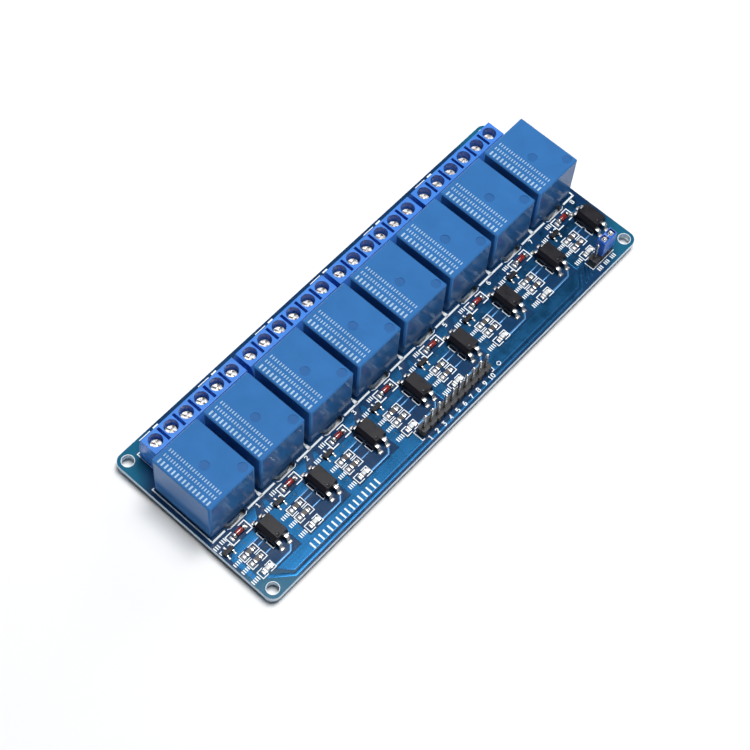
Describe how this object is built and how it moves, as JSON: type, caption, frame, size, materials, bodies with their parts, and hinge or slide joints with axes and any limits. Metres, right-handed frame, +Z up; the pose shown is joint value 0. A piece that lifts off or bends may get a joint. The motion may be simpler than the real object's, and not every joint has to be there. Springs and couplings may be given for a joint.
{
  "type": "relay module board",
  "caption": "Circuit board with a row of sealed relays, screw terminals along one long edge, optocouplers and pin headers along the other, and a corner hole at each end.",
  "frame": {"origin": "centre of the board's outline, on the plane of the trimmed lead tips that the board stands on", "axes": "+X along the row of relays towards the end with the jumper, +Y towards the screw terminals, +Z up out of the component side"},
  "size_m": [0.1362, 0.0524, 0.019],
  "materials": {
    "solder_mask_board": "blue solder mask over copper, satin gloss",
    "relay_case": "moulded blue, smooth with soft gloss",
    "relay_base": "dark blue sealing resin",
    "tinned_lead": "tin plated, bright",
    "terminal_housing": "moulded bright blue nylon",
    "screw_steel": "zinc plated, bright",
    "clamp_metal": "plated folded strip",
    "optocoupler_body": "moulded black epoxy, fine matt",
    "black_epoxy": "moulded black, matt",
    "diode_glass": "reddish glass",
    "led_white": "white carrier",
    "led_lens": "milky clear resin",
    "header_plastic": "moulded black, matt",
    "header_pin": "tin plated, bright",
    "jumper_plastic": "moulded blue, soft gloss",
    "solder": "bright solder"
  },
  "bodies": {
    "board": {"circuit_board": "solder_mask_board", "relay_case_1": "relay_case", "relay_case_2": "relay_case", "relay_case_3": "relay_case", "relay_case_4": "relay_case", "relay_case_5": "relay_case", "relay_case_6": "relay_case", "relay_case_7": "relay_case", "relay_case_8": "relay_case", "relay_base_1": "relay_base", "relay_base_2": "relay_base", "relay_base_3": "relay_base", "relay_base_4": "relay_base", "relay_base_5": "relay_base", "relay_base_6": "relay_base", "relay_base_7": "relay_base", "relay_base_8": "relay_base", "relay_coil_pins": "tinned_lead", "relay_contact_blades": "tinned_lead", "terminal_block_1": "terminal_housing", "terminal_block_2": "terminal_housing", "terminal_block_3": "terminal_housing", "terminal_block_4": "terminal_housing", "terminal_screws": "screw_steel", "wire_clamps": "clamp_metal", "contact_plates": "tinned_lead", "optocoupler_1": "optocoupler_body", "optocoupler_2": "optocoupler_body", "optocoupler_3": "optocoupler_body", "optocoupler_4": "optocoupler_body", "optocoupler_5": "optocoupler_body", "optocoupler_6": "optocoupler_body", "optocoupler_7": "optocoupler_body", "optocoupler_8": "optocoupler_body", "optocoupler_leads": "tinned_lead", "transistor_bodies": "black_epoxy", "transistor_leads": "tinned_lead", "diode_bodies": "diode_glass", "diode_caps": "tinned_lead", "resistor_bodies": "black_epoxy", "resistor_ends": "tinned_lead", "led_bases": "led_white", "led_lenses": "led_lens", "led_ends": "tinned_lead", "signal_header_strip": "header_plastic", "signal_header_pins": "header_pin", "supply_header_strip": "header_plastic", "supply_header_pins": "header_pin", "solder_joints": "solder"},
    "jumper": {"jumper_cap": "jumper_plastic", "jumper_spring": "tinned_lead"}
  },
  "joints": [
    {"name": "jumper_pull", "type": "slide", "parent": "board", "child": "jumper", "axis": [0, 0, 1], "range_m": [0, 0.006]}
  ]
}
